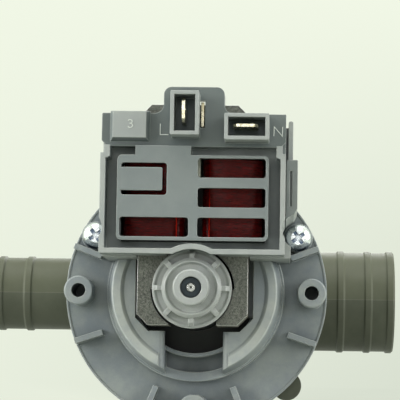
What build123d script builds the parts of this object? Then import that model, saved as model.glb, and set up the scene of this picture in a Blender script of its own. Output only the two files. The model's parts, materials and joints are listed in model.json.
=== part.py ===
from build123d import *
from math import cos, radians, sin, sqrt, tan
import os

# Washer drain pump: a single-phase motor on a bracket, with a pump chamber behind it.
# The rotor turns about the Y axis. The motor lies toward -Y, the pump chamber toward +Y.
# Shapes are drawn from the face of the bracket that seals on the chamber, at Y = 0.
# Each piece is then moved, so that the mounting bosses' seats lie at Y = 0.
# All lengths are millimetres.

# Shared allowances
overrun = 1.0
press_gap = 0.02
slide_gap = 0.1
part_gap = 0.2
running_gap = 0.5
edge_break = 0.3

# Laminated core
stack_depth = 16.0
core_back = -12.0
leg_width = 8.0
pole_drop = 9.25
pole_chamfer = 2.7
pole_wall = 3.4
yoke_gap = 5.7
yoke_height = 8.0
yoke_chamfer = 3.0
tenon_width = 3.0
tenon_height = 2.0
can_outer_r = 10.0
pole_gap = 0.35
pole_step = 0.45

# Coils, one on each leg
bobbin_wall = 0.9
bobbin_flange = 0.8
coil_rise = 2.8
coil_height = 20.4
coil_gap = 4.6
coil_corner_r = 3.0
flange_margin = 0.3
turn_count = 22
wire_d = 0.48

# Rotor housing, a black can with a closing disc
can_wall = 0.8
can_end_wall = 1.4
can_overhang = 1.2
housing_disc_edge = 6.7
housing_disc_thick = 1.7
bearing_boss_wall = 1.2
bearing_boss_depth = 3.2
bearing_lip = 0.4

# Shaft and bearings
shaft_r = 1.5
shaft_tip_r = 1.15
shaft_play = 0.03
bearing_wall = 1.5
rear_bearing_length = 4.2
front_bearing_length = 5.3
washer_r = 3.4
washer_thick = 0.4
washer_play = 0.05
axial_play = 0.1
flat_depth = 0.4
shaft_chamfer = 0.25

# Magnet and its carrier
magnet_air = 0.5
magnet_wall = 3.7
magnet_length = 14.8
carrier_collar = 0.7

# Plug that carries the front bearing and the shaft seal
plug_length = 8.8
plug_rim_r = 12.0
plug_rim_thick = 1.4
seal_r = 4.6
seal_length = 3.9
seal_lip_r = 2.4
seal_lip_thick = 1.1
seal_skin = 0.8
seal_core_r = 2.6

# Cooling fan
fan_gap = 0.8
fan_disc_reach = 0.2
fan_disc_thick = 1.2
fan_drum_r = 7.6
fan_drum_rise = 3.8
fan_drum_wall = 1.0
fan_hub_r = 4.6
fan_hub_rise = 3.0
fan_recess_r = 2.74
fan_recess_depth = 1.8
fan_valley_depth = 1.0
fan_rib_count = 8
fan_rib_width = 1.3
fan_rib_rise = 2.6
fan_rib_overlap = 1.0
fan_rib_set = 0.6
fan_lip_width = 1.2
fan_lip_rise = 0.35
fan_edge_r = 0.8
push_ring_thick = 0.6
push_ring_r = 2.6
tip_dimple_r = 0.45

# Bracket
flange_reach = 13.3
flange_thick = 3.5
lip_width = 0.5
lip_rise = 0.25
well_inner_r = 16.2
well_wall = 1.0
well_rise = 6.5
rim_edge = 13.9
rim_wall = 2.4
rim_rise = 5.0
band_rise = 1.5
arm_width = 4.6
arm_draft = 1.9
arm_platform = 16.0
arm_skin = 1.8
arm_ridge_width = 2.3
arm_ridge_slope = 1.0
arm_ridge_rise = 0.6
arm_edge_r = 1.5
arm_end_z = 8.2
notch_half = 7.7
pocket_gap = 1.3
boss_edge = 4.25
boss_r = 3.85
boss_flat = 3.6
boss_top = 14.0
boss_hole_r = 1.87
boss_floor = 1.4
radial_rib_angles = (20.4, 159.6, 203.1, 247.9, 292.1, 336.9)
radial_rib_leans = (0, 0, -4.8, 0, 0, 4.8)
radial_rib_reach = 8.1
radial_rib_thick = 1.5
radial_rib_top = 9.0
screw_pad_r = 3.9
screw_pad_top = 5.6

# Screws
screw_edge = 4.0
screw_angle = 29.0
screw_head_r = 3.5
screw_head_height = 2.4
screw_shank_r = 1.75
screw_length = 14.0
screw_hole_gap = 0.15
cross_length = 3.9
cross_width = 1.0
cross_depth = 1.2
cross_turn = 35.0
dome_shares = ((0.55, 0), (0.86, 0.33))

# Chamber housing, with the outlet spigot
chamber_edge = 10.9
chamber_wall = 2.0
chamber_depth = 18.4
chamber_floor = 1.6
chamber_flange_thick = 3.4
eye_r = 11.5
ring_gap = 0.3
ring_width = 2.0
ring_height = 1.9
outlet_bore_r = 8.2
outlet_wall = 1.65
outlet_reach = 26.4
outlet_y = 11.0
outlet_z = 0
outlet_bead_insets = (15.2, 7.4, 1.2)
bead_rise = 0.4
bead_width = 2.3
housing_rib_count = 16
housing_rib_thick = 1.6
housing_rib_height = 6.0
housing_boss_r = 3.9
housing_boss_depth = 11.0
tail_seat = 1.6
lug_edge = 0.55
lug_angle = -44.8
lug_r = 4.0
lug_depth = 8.0

# Inlet elbow, welded to the back of the chamber housing
inlet_bore_r = 12.4
inlet_wall = 1.7
inlet_room = 1.6
inlet_reach = 19.6
inlet_z = -0.2
inlet_bead_insets = (15.1, 7.4, 1.2)
elbow_wall = 1.8
elbow_back_room = 0.4

# Impeller and its lost-motion drive
impeller_gap = 0.8
hub_r = 8.2
hub_wall = 1.2
hub_depth = 8.0
hub_floor = 1.2
cap_thick = 1.1
dog_hub_r = 3.0
dog_reach_gap = 0.3
dog_half_angle = 20.0
dog_start = 0.3
blade_count = 6
blade_thick = 1.8
blade_gap = 3.7
blade_depth = 13.3
blade_root_share = 0.72
back_disc_r = 12.5
back_disc_thick = 1.2
bush_r = 3.0
bush_length = 2.2

# Front cover
cover_side_room = 5.0
cover_bottom = 8.5
plate_height = 8.55
rim_room = 4.8
tray_side = 1.3
tray_sill = 1.3
tray_floor = 1.2
floor_gap = 0.4
panel_set = 1.0
plate_set = 3.0
panel_thick = 1.4
plate_thick = 1.8
panel_side_margin = 0.7
panel_low_margin = 0.85
panel_high_margin = 0.5
panel_corner_r = 1.3
sill_gap = 2.4
arch_set = 0.46
arch_rise = 1.36
bridge_left = -14.7
bridge_right = -0.55
tower_half = 7.8
tower_rise = 6.9
tower_corner_r = 2.0
tower_fillet_r = 2.4
window_corner_r = 0.8
window_near = 1.27
window_left_near = -0.96
window_height = 5.0
window_side_margin = 0.7
window_low_margin = 0.89
window_high_margin = 0.7
window_rows = 3
slot_width = 1.2
tongue_margin = 0.95
tongue_length = 11.75
tongue_height = 8.28
tongue_drop = 1.97
notch_height = 3.5
notch_rise = 1.5
notch_depth = 0.93
notch_reach = 4.0
jog_wall = 1.45
jog_drop = 0.87
jog_slope = 0.75
block_side = 2.2
block_width = 10.1
block_sill = 1.2
block_over = 0.5
block_rise = 2.5
block_slope = 0.8
shroud_reach = 5.0
shroud_wall = 0.93
live_side = 2.11
live_width = 7.24
live_sill = 2.2
live_drop = 2.05
neutral_gap = 0.2
neutral_side = 4.3
neutral_sill = 1.05
neutral_drop = 0.79

# Rear cover
rear_room = 0.9
rear_wall = 1.4
rear_drop = 0.3
rear_cut_gap = 0.4
rail_gap = 0.65
rail_width = 1.2
rail_height = 10.2
rail_drop = 1.35
rail_reach = 2.8
rail_corner_r = 0.5
foot_width = 1.3
foot_height = 4.2
clip_width = 2.9
clip_height = 12.4
clip_reach = 4.8
clip_arm = 0.9
clip_slot_width = 0.6
clip_slot_top = 2.8
clip_slot_low = 0.5
clip_slot_depth = 1.4
clip_foot = 2.9
clip_taper = 1.5
screw_clearance = 0.8

# Terminals, cutout and leads
blade_width = 6.3
blade_metal = 0.8
blade_set = 1.0
blade_tail = 1.6
live_blade_set = 3.29
live_blade_drop = 1.6
neutral_blade_set = 2.2
neutral_blade_rise = 3.75
strip_gap = 0.6
strip_width = 6.4
strip_drop = 1.8
strip_set = 0.8
slot_margin = 0.3
blade_chamfer = 0.9
cutout_side_gap = 0.55
cutout_height = 5.0
cutout_rise = 0.6
cutout_reach = 2.5
cutout_length = 11.0
cutout_lead_r = 0.4
lead_bend_r = 0.9
lead_side_gap = 1.7
lead_cross_rise = 3.0
lead_strip_rise = 2.2
link_strip_rise = 4.2
lead_behind = 0.8

# Motor values that follow from the sizes above
core_front = core_back - stack_depth
leg_outer = can_outer_r + pole_gap + pole_step + pole_wall
leg_inner = leg_outer - leg_width
leg_centre = leg_outer - leg_width / 2
tube_half_x = leg_width / 2 + slide_gap + bobbin_wall
tube_half_y = stack_depth / 2 + slide_gap + bobbin_wall
coil_build = leg_centre - coil_gap / 2 - tube_half_x
coil_half_x = tube_half_x + coil_build
coil_half_y = tube_half_y + coil_build
coil_bottom = can_outer_r + coil_rise
coil_top = coil_bottom + coil_height
coil_centre_y = (core_front + core_back) / 2
coil_face = coil_half_y - coil_centre_y + flange_margin
coil_rear = -coil_centre_y - coil_half_y - flange_margin
coil_side = leg_centre + coil_half_x + flange_margin + part_gap
cutout_width = coil_gap - 2 * cutout_side_gap
yoke_underside = coil_top + bobbin_flange + yoke_gap
can_end = core_front - can_overhang
can_inner_r = can_outer_r - can_wall
bearing_r = shaft_r + bearing_wall
rear_bearing_back = can_end + bearing_lip + rear_bearing_length
carrier_front = rear_bearing_back + washer_thick + 2 * axial_play
magnet_r = can_inner_r - magnet_air
magnet_bore_r = magnet_r - magnet_wall
front_bearing_front = -plug_length - running_gap
carrier_back = front_bearing_front - washer_thick - 2 * axial_play
magnet_back = carrier_back - carrier_collar
magnet_front = magnet_back - magnet_length
fan_disc_r = can_outer_r + fan_disc_reach
fan_back = can_end - fan_gap
disc_front = fan_back - fan_disc_thick
drum_front = disc_front - fan_drum_rise
fan_front = drum_front - fan_hub_rise
shaft_front = fan_front + push_ring_thick
hub_front = plug_rim_thick + impeller_gap
hub_back = hub_front + hub_depth
hub_inner_r = hub_r - hub_wall
dog_front = plug_rim_thick + dog_start
dog_back = hub_back - hub_floor - axial_play
dog_pocket_front = hub_front + cap_thick + axial_play
bush_back = hub_back + bush_length
shaft_back = bush_back + axial_play + push_ring_thick + shaft_chamfer

# Bracket and chamber values that follow
arm_top_r = well_inner_r + well_wall + arm_width
flange_r = arm_top_r + flange_reach
rim_inner_r = flange_r - rim_edge
boss_circle_r = flange_r - boss_edge
screw_circle_r = flange_r - screw_edge
radial_rib_inner_r = flange_r - radial_rib_reach
housing_disc_r = flange_r - housing_disc_edge
chamber_r = flange_r - chamber_edge
chamber_back = chamber_depth + chamber_floor
ring_groove_r = chamber_r + chamber_wall + ring_gap
lug_circle_r = flange_r - lug_edge
blade_r = chamber_r - blade_gap
outlet_r = outlet_bore_r + outlet_wall
outlet_end = flange_r + outlet_reach
inlet_r = inlet_bore_r + inlet_wall
inlet_end = flange_r + inlet_reach
inlet_y = chamber_back + inlet_r + part_gap
elbow_inner_r = inlet_bore_r + inlet_room
elbow_back = inlet_y + inlet_bore_r + elbow_back_room + elbow_wall

# Front cover values that follow
cover_half = coil_side + cover_side_room
rim_front = coil_face + rim_room
panel_face = -(rim_front - panel_set)
plate_face = -(rim_front - plate_set)
tray_back = core_front - floor_gap
panel_half = coil_side + panel_side_margin
panel_bottom = coil_bottom - panel_low_margin
panel_top = coil_top + panel_high_margin
plate_bottom = panel_top + sill_gap
cover_shoulder = plate_bottom + plate_height
tower_top = cover_shoulder + tower_rise
arch_r = fan_disc_r - arch_set
window_far = panel_half - window_side_margin
window_low = panel_bottom + window_low_margin
window_high = panel_top - window_high_margin - window_height
window_step = (window_high - window_low) / (window_rows - 1)
tongue_root = tongue_margin - panel_half
tongue_tip = tongue_root + tongue_length
tongue_high = panel_top - tongue_drop
tongue_low = tongue_high - tongue_height
notch_high = plate_bottom + notch_rise
notch_low = notch_high - notch_height
block_left = block_side - cover_half
block_right = block_left + block_width
block_low = plate_bottom + block_sill
block_high = cover_shoulder + block_over
shroud_front = rim_front + shroud_reach
live_left = live_side - tower_half
live_right = live_left + live_width
live_low = plate_bottom + live_sill
live_high = tower_top - live_drop
neutral_left = tower_half + neutral_gap
neutral_right = cover_half - neutral_side
neutral_low = plate_bottom + neutral_sill
neutral_high = cover_shoulder - neutral_drop

# Rear cover values that follow
rear_front = -tray_back - part_gap
rear_back = coil_rear - rear_room - rear_wall
rear_bottom = cover_bottom - rear_drop
rail_high = cover_shoulder - rail_drop
rail_low = rail_high - rail_height
rail_front = rear_front + rail_reach
clip_high = rail_low
clip_low = clip_high - clip_height
clip_front = rear_front + clip_reach

# Terminal and lead values that follow
blade_front = shroud_front - blade_set
blade_back = -(plate_face + plate_thick) - blade_tail
live_blade_x = live_left + live_blade_set
live_blade_low = live_high - live_blade_drop - blade_width
neutral_blade_x = neutral_left + neutral_blade_set
neutral_blade_z = neutral_low + neutral_blade_rise
strip_x = live_right + strip_gap
strip_high = live_high - strip_drop
strip_low = strip_high - strip_width
strip_front = -plate_face - strip_set
cutout_high = coil_top + cutout_rise
cutout_low = cutout_high - cutout_height
cutout_front = cutout_reach - core_front
cutout_back = cutout_front - cutout_length
lead_side_x = coil_side + lead_side_gap
lead_cross_z = coil_top + bobbin_flange + lead_cross_rise
lead_strip_z = strip_low + lead_strip_rise
link_strip_z = strip_low + link_strip_rise


def prism(outline, near, far):
    """The outline, drawn in X and Z, from Y = near to Y = far."""
    return extrude(Plane.XZ.offset(-far) * outline, far - near)


def disc(radius, near, far, x=0, z=0):
    return prism(Pos(x, z) * Circle(radius), near, far)


def ring(outer, inner, near, far, x=0, z=0):
    return prism(Pos(x, z) * (Circle(outer) - Circle(inner)), near, far)


def span(x0, x1, z0, z1, corner=0):
    """A flat rectangle in X and Z from its edges."""
    place = Pos((x0 + x1) / 2, (z0 + z1) / 2)
    if corner:
        return place * RectangleRounded(x1 - x0, z1 - z0, corner)
    return place * Rectangle(x1 - x0, z1 - z0)


def block(x0, x1, z0, z1, near, far, corner=0):
    return prism(span(x0, x1, z0, z1, corner), near, far)


def turned(*points):
    """A solid of revolution about Y from points (radius, y)."""
    return revolve(make_face(Polyline(*points, close=True)), Axis.Y)


def both_sides(shape):
    return shape + mirror(shape, Plane.YZ)


def round_places(count, start=0):
    return [start + 360 * k / count for k in range(count)]


def pole_outline(gap=0):
    """The two poles seen along Y: chamfered below, open above, grown by a gap."""
    half = leg_outer + gap
    low = -pole_drop - gap
    cut = pole_chamfer + gap * (2 - sqrt(2))
    return make_face(
        Polyline(
            (half, yoke_underside),
            (half, low + cut),
            (half - cut, low),
            (cut - half, low),
            (-half, low + cut),
            (-half, yoke_underside),
            close=True,
        )
    )


def core_leg(side):
    legs = pole_outline() & span(leg_inner, leg_outer, -pole_drop, yoke_underside)
    tenon = span(
        leg_centre - tenon_width / 2,
        leg_centre + tenon_width / 2,
        yoke_underside,
        yoke_underside + tenon_height,
    )
    small_r = can_outer_r + pole_gap
    large_r = small_r + pole_step
    bore = Circle(small_r)
    step = Circle(large_r) & span(0, large_r, 0, large_r)
    if side < 0:
        step = Circle(large_r) & span(0, large_r, -large_r, 0)
    leg = prism(legs + tenon - bore - step, core_front, core_back)
    if side < 0:
        return mirror(leg, Plane.YZ)
    return leg


def core_yoke():
    top = yoke_underside + yoke_height
    outline = span(-leg_outer, leg_outer, yoke_underside, top)
    upper = outline.vertices().sort_by(Axis.Y)[-2:]
    outline = chamfer(upper, yoke_chamfer)
    tenons = Sketch() + [
        Pos(side * leg_centre, yoke_underside + tenon_height / 2)
        * Rectangle(tenon_width, tenon_height)
        for side in (-1, 1)
    ]
    return prism(outline - tenons, core_front, core_back)


def coil_block(half_x, half_y, low, high, corner=0):
    """A block around one leg, from its half sizes."""
    outline = Rectangle(2 * half_x, 2 * half_y)
    if corner:
        outline = RectangleRounded(2 * half_x, 2 * half_y, corner)
    return extrude(Pos(leg_centre, coil_centre_y, low) * outline, high - low)


def one_side(shape, side):
    return mirror(shape, Plane.YZ) if side < 0 else shape


def bobbin(side):
    low = coil_bottom - bobbin_flange
    high = coil_top + bobbin_flange
    body = coil_block(tube_half_x, tube_half_y, low, high, bobbin_wall)
    for start in (low, coil_top):
        body += coil_block(
            coil_half_x + flange_margin,
            coil_half_y + flange_margin,
            start,
            start + bobbin_flange,
            edge_break,
        )
    hole = coil_block(
        leg_width / 2 + slide_gap,
        stack_depth / 2 + slide_gap,
        low - overrun,
        high + overrun,
    )
    return one_side(body - hole, side)


def winding_core(side):
    """The inner layers of a coil, under its outer turns."""
    inset = wire_d + press_gap
    corner = coil_corner_r - inset
    body = coil_block(
        coil_half_x - inset, coil_half_y - inset, coil_bottom, coil_top, corner
    )
    hole = coil_block(
        tube_half_x, tube_half_y, coil_bottom - overrun, coil_top + overrun, bobbin_wall
    )
    return one_side(body - hole, side)


def winding_path():
    """Corner points of the outer layer, which climbs evenly round the leg."""
    half_x = coil_half_x - wire_d / 2
    half_y = coil_half_y - wire_d / 2
    pitch = (coil_height - 2 * wire_d) / turn_count
    start = coil_bottom + wire_d
    corners = ((1, 1), (1, -1), (-1, -1), (-1, 1))
    points = [(0, half_y, start)]
    for turn in range(turn_count):
        for step, (sx, sy) in enumerate(corners):
            rise = turn + (step + 1 / 2) / len(corners)
            points.append((sx * half_x, sy * half_y, start + pitch * rise))
    points.append((0, half_y, start + pitch * turn_count))
    return FilletPolyline(*points, radius=coil_corner_r - wire_d / 2)


def winding_turns(side):
    path = winding_path()
    section = Plane(origin=path @ 0, z_dir=path % 0) * Circle(wire_d / 2)
    turns = Pos(leg_centre, coil_centre_y, 0) * sweep(section, path=path)
    return one_side(turns, side)


def least_turn_gap():
    """The least distance between two turns, from points along the wire's line."""
    path = winding_path()
    per_turn = 40
    samples = turn_count * per_turn
    points = [path @ (k / samples) for k in range(samples + 1)]
    near = min(
        (points[i] - points[j]).length
        for i in range(0, samples)
        for j in range(i + per_turn - 10, min(i + per_turn + 10, samples + 1))
    )
    return near - wire_d


def rotor_housing():
    boss_r = bearing_r + bearing_boss_wall
    boss_back = can_end + can_end_wall + bearing_boss_depth
    seat = can_end + bearing_lip
    lip_r = shaft_r + running_gap
    return turned(
        (lip_r, can_end),
        (can_outer_r - edge_break, can_end),
        (can_outer_r, can_end + edge_break),
        (can_outer_r, -housing_disc_thick),
        (housing_disc_r, -housing_disc_thick),
        (housing_disc_r, 0),
        (can_inner_r, 0),
        (can_inner_r, can_end + can_end_wall),
        (boss_r, can_end + can_end_wall),
        (boss_r, boss_back),
        (bearing_r, boss_back),
        (bearing_r, seat),
        (lip_r, seat),
    )


def bearing(front, length):
    bore = shaft_r + shaft_play
    bush = ring(bearing_r, bore, front, front + length)
    rims = bush.edges().filter_by(GeomType.CIRCLE).sort_by(SortBy.RADIUS)[-2:]
    return chamfer(rims, edge_break)


def thrust_washer(front):
    return ring(washer_r, shaft_r + washer_play, front, front + washer_thick)


def dog_bore():
    """The shaft's section with its flat."""
    return Circle(shaft_r) & span(-shaft_r, shaft_r, -shaft_r, shaft_r - flat_depth)


def rotor_shaft():
    shaft = turned(
        (0, shaft_front),
        (shaft_tip_r - shaft_chamfer, shaft_front),
        (shaft_tip_r, shaft_front + shaft_chamfer),
        (shaft_tip_r, fan_back),
        (shaft_r, fan_back),
        (shaft_r, shaft_back - shaft_chamfer),
        (shaft_r - shaft_chamfer, shaft_back),
        (0, shaft_back),
    )
    flat = block(-shaft_r, shaft_r, shaft_r - flat_depth, shaft_r, dog_front, dog_back)
    dimple = turned(
        (0, shaft_front),
        (tip_dimple_r, shaft_front),
        (0, shaft_front + tip_dimple_r),
    )
    return shaft - flat - dimple


def rotor_magnet():
    magnet = ring(magnet_r, magnet_bore_r, magnet_front, magnet_back)
    rims = magnet.edges().filter_by(GeomType.CIRCLE).sort_by(SortBy.RADIUS)[-2:]
    return chamfer(rims, edge_break)


def magnet_carrier():
    sleeve = ring(magnet_bore_r, shaft_r, carrier_front, carrier_back)
    return sleeve + ring(magnet_r, shaft_r, magnet_back, carrier_back)


def fan_rib():
    """One vane from the drum out to the edge of the disc, along +X."""
    low = fan_drum_r - fan_rib_overlap
    far = fan_disc_r - fan_rib_set
    top = disc_front - fan_rib_rise
    outline = make_face(
        Polyline(
            (low, fan_back),
            (far, fan_back),
            (far, top + fan_edge_r),
            (far - fan_edge_r, top),
            (low, top),
            close=True,
        )
    )
    return extrude(outline, fan_rib_width / 2, both=True)


def cooling_fan():
    drum_in = fan_drum_r - fan_drum_wall
    valley = drum_front + fan_valley_depth
    skin = valley + fan_drum_wall
    lathe = turned(
        (shaft_tip_r, fan_back),
        (shaft_tip_r, fan_front + fan_recess_depth),
        (fan_recess_r, fan_front + fan_recess_depth),
        (fan_recess_r, fan_front),
        (fan_hub_r - edge_break, fan_front),
        (fan_hub_r, fan_front + edge_break),
        (fan_hub_r, valley),
        (drum_in - fan_valley_depth / 2, valley),
        (drum_in, drum_front),
        (fan_drum_r - fan_edge_r, drum_front),
        (fan_drum_r, drum_front + fan_edge_r),
        (fan_drum_r, disc_front),
        (fan_disc_r - fan_lip_width, disc_front),
        (fan_disc_r - fan_lip_width / 2, disc_front - fan_lip_rise),
        (fan_disc_r, disc_front - fan_lip_rise / 2),
        (fan_disc_r, fan_back),
        (drum_in, fan_back),
        (drum_in, skin),
        (fan_hub_r - fan_drum_wall, skin),
        (fan_hub_r - fan_drum_wall, fan_back),
    )
    for angle in round_places(fan_rib_count):
        lathe += Rot(0, angle, 0) * fan_rib()
    return lathe


def fan_push_ring():
    front = fan_front + fan_recess_depth - push_ring_thick
    return ring(push_ring_r, shaft_tip_r, front, front + push_ring_thick)


def seal_carrier():
    bearing_back = front_bearing_front + front_bearing_length
    seal_front = bearing_back + seal_lip_thick
    return turned(
        (bearing_r, -plug_length),
        (can_inner_r - press_gap - edge_break, -plug_length),
        (can_inner_r - press_gap, edge_break - plug_length),
        (can_inner_r - press_gap, 0),
        (plug_rim_r, 0),
        (plug_rim_r, plug_rim_thick),
        (seal_r, plug_rim_thick),
        (seal_r, seal_front),
        (seal_lip_r, seal_front),
        (seal_lip_r, bearing_back),
        (bearing_r, bearing_back),
    )


def shaft_seal():
    front = front_bearing_front + front_bearing_length + seal_lip_thick
    back = front + seal_length
    lip = shaft_r + shaft_play
    return turned(
        (seal_core_r, front),
        (seal_r, front),
        (seal_r, back),
        (seal_core_r, back),
        (lip, back - seal_skin / 2),
        (lip, back - seal_skin),
        (seal_core_r, back - 2 * seal_skin),
    )


def arm_cone(inset=0, top=-arm_platform, base=0):
    """The drafted outside of both arms, as one full ring-shaped body."""
    slope = arm_draft / (arm_platform - flange_thick)
    base_r = arm_top_r - inset + slope * (base + arm_platform)
    top_r = arm_top_r - inset + slope * (top + arm_platform)
    return turned((0, top), (top_r, top), (base_r, base), (0, base))


def arm_plan(inset=0):
    """Both arms seen along Y: beside the poles and the notch below them."""
    reach = arm_top_r + arm_draft + overrun
    sides = both_sides(
        span(notch_half + inset, reach, -reach, arm_end_z - inset)
    )
    return sides - pole_outline(pocket_gap + inset)


def bracket_arms():
    arms = arm_cone() & prism(arm_plan(), -arm_platform, 0)
    crest = -arm_platform - arm_ridge_rise
    ridge_r = arm_top_r - arm_ridge_width
    ridge = turned(
        (ridge_r - arm_ridge_slope, -arm_platform),
        (ridge_r, crest),
        (arm_top_r - edge_break, crest),
        (arm_top_r, crest + edge_break),
        (arm_top_r, -arm_platform),
    )
    arms += ridge & prism(arm_plan(), crest, -arm_platform)
    return arms - arm_edges()


def arm_edges():
    """What is taken off to round the arms' front edges beside the notch."""
    side = notch_half + arm_edge_r
    top = arm_edge_r - arm_platform
    reach = arm_edge_r + arm_ridge_rise + overrun
    corner = Pos(side, top) * Rectangle(
        arm_edge_r + overrun, reach, align=(Align.MAX, Align.MAX)
    )
    corner -= Pos(side, top) * Circle(arm_edge_r)
    return both_sides(extrude(Plane.XY.offset(-flange_r) * corner, flange_r))


def arm_hollows():
    top = arm_skin - arm_platform
    inner = ring(
        flange_r, well_inner_r + well_wall, top, -housing_disc_thick
    )
    hollow = arm_cone(arm_skin, top) & prism(arm_plan(arm_skin), top, 0)
    return hollow & inner


def bracket_boss(angle):
    """A mounting boss with a flat towards the rotor axis."""
    boss = disc(boss_r, -boss_top, -flange_thick, boss_circle_r)
    rim = boss.edges().filter_by(GeomType.CIRCLE).sort_by(Axis.Y)[0]
    boss = chamfer(rim, edge_break)
    inner = boss_circle_r - boss_flat
    boss -= block(
        inner - boss_r, inner, -boss_r, boss_r, -boss_top - overrun, -flange_thick
    )
    return Rot(0, -angle, 0) * boss


def radial_rib(angle, lean):
    """A rib across the flange, turned by its lean about its own middle."""
    length = flange_r - edge_break - radial_rib_inner_r
    middle = radial_rib_inner_r + length / 2
    outline = Rot(0, 0, lean) * Rectangle(length, radial_rib_thick)
    outline = Rot(0, 0, angle) * Pos(middle, 0) * outline
    return prism(outline, -radial_rib_top, -flange_thick)


def at_angle(radius, angle):
    return radius * cos(radians(angle)), radius * sin(radians(angle))


boss_angles = (0, 180, 270)
screw_angles = (screw_angle, 180 - screw_angle)


def pump_bracket():
    body = disc(flange_r, -flange_thick, 0)
    body += ring(
        flange_r, flange_r - lip_width, -flange_thick - lip_rise, -flange_thick
    )
    band_r = rim_inner_r + edge_break
    body += disc(band_r, -flange_thick - band_rise, -flange_thick)
    rim = ring(
        rim_inner_r + rim_wall, rim_inner_r, -flange_thick - rim_rise, -flange_thick
    )
    wall = ring(
        well_inner_r + well_wall, well_inner_r, -flange_thick - well_rise, -flange_thick
    )
    body += (rim + wall) & below_arms()
    body += bracket_arms()
    for angle in boss_angles:
        body += bracket_boss(angle)
    for angle, lean in zip(radial_rib_angles, radial_rib_leans):
        body += radial_rib(angle, lean)
    for angle in screw_angles:
        x, z = at_angle(screw_circle_r, angle)
        body += disc(screw_pad_r, -screw_pad_top, -flange_thick, x, z)
    well = disc(well_inner_r, core_back - overrun, overrun)
    well -= prism(arm_plan(), core_back - overrun, arm_skin - arm_platform)
    body -= well
    body -= disc(
        housing_disc_r + slide_gap, -housing_disc_thick, overrun
    )
    body -= arm_hollows()
    body -= disc(can_outer_r + slide_gap, -arm_platform - overrun, overrun)
    body += core_ledges()
    for angle in boss_angles[:2]:
        x, z = at_angle(boss_circle_r, angle)
        body -= disc(boss_hole_r, -boss_top - overrun, -boss_floor, x, z)
    x, z = at_angle(boss_circle_r, boss_angles[-1])
    body -= disc(boss_hole_r, -boss_top - overrun, overrun, x, z)
    for angle in screw_angles:
        x, z = at_angle(screw_circle_r, angle)
        hole_r = screw_shank_r + screw_hole_gap
        body -= disc(hole_r, -screw_pad_top - overrun, overrun, x, z)
    return body


def below_arms():
    """The half space under the arms' upper ends, where the walls stand."""
    return block(-flange_r, flange_r, -flange_r, arm_end_z, -boss_top, overrun)


def core_ledges():
    """Posts behind the poles, on which the core's back face rests."""
    inner = can_outer_r + pole_gap + slide_gap
    outer = well_inner_r + well_wall / 2
    post = block(
        inner, outer, pole_chamfer - pole_drop, arm_end_z, core_back,
        -housing_disc_thick,
    )
    return both_sides(post)


def pan_screw(head_seat, toward):
    """A pan-head screw with a cross recess. Its shank points along toward."""
    top = head_seat - toward * screw_head_height
    shoulder = head_seat - toward * screw_head_height / 3
    tip = head_seat + toward * screw_length
    dome = [
        (screw_head_r * out, top + toward * screw_head_height * down)
        for out, down in dome_shares
    ]
    head = turned(
        (0, top),
        *dome,
        (screw_head_r, shoulder),
        (screw_head_r, head_seat),
        (screw_shank_r, head_seat),
        (screw_shank_r, tip - toward * screw_shank_r),
        (0, tip),
    )
    floor = top + toward * cross_depth
    near, far = sorted((top - toward * overrun, floor))
    cross = Rectangle(cross_length, cross_width) + Rectangle(cross_width, cross_length)
    return head - prism(Rot(0, 0, cross_turn) * cross, near, far)


def bracket_screws():
    screws = []
    for angle in screw_angles:
        x, z = at_angle(screw_circle_r, angle)
        screws.append(Pos(x, 0, z) * pan_screw(-screw_pad_top, 1))
    return Compound(screws)


def chamber_screw():
    x, z = at_angle(boss_circle_r, boss_angles[-1])
    return Pos(x, 0, z) * pan_screw(chamber_flange_thick + tail_seat, -1)


def chamber_ring():
    outline = Pos(ring_groove_r, ring_height / 2) * RectangleRounded(
        ring_width, ring_height, ring_height / 3
    )
    return revolve(outline, Axis.Y)


def beaded_tube(radius, end, bead_insets):
    """A hose spigot along +X from the axis, with its retaining beads."""
    tube = extrude(Plane.YZ * Circle(radius), end)
    half = bead_width / 2
    for inset in bead_insets:
        place = end - inset
        bead = make_face(
            Polyline(
                (place - half, 0),
                (place - half, radius),
                (place - half + bead_rise, radius + bead_rise),
                (place + half - bead_rise, radius + bead_rise),
                (place + half, radius),
                (place + half, 0),
                close=True,
            )
        )
        tube += revolve(bead, Axis.X)
    return tube


def chamber_bosses():
    body = None
    for angle in screw_angles:
        x, z = at_angle(screw_circle_r, angle)
        boss = disc(housing_boss_r, 0, housing_boss_depth, x, z)
        body = boss if body is None else body + boss
    x, z = at_angle(boss_circle_r, boss_angles[-1])
    body += disc(housing_boss_r, 0, chamber_flange_thick + tail_seat, x, z)
    x, z = at_angle(lug_circle_r, lug_angle)
    return body + disc(lug_r, 0, lug_depth, x, z)


def chamber_rib(angle):
    outer = chamber_r + chamber_wall
    outline = make_face(
        Polyline(
            (chamber_r + chamber_wall / 2, chamber_flange_thick / 2),
            (flange_r - lip_width, chamber_flange_thick / 2),
            (flange_r - lip_width, chamber_flange_thick),
            (outer, chamber_flange_thick + housing_rib_height),
            (chamber_r + chamber_wall / 2, chamber_flange_thick + housing_rib_height),
            close=True,
        )
    )
    return Rot(0, -angle, 0) * extrude(outline, housing_rib_thick / 2, both=True)


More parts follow.
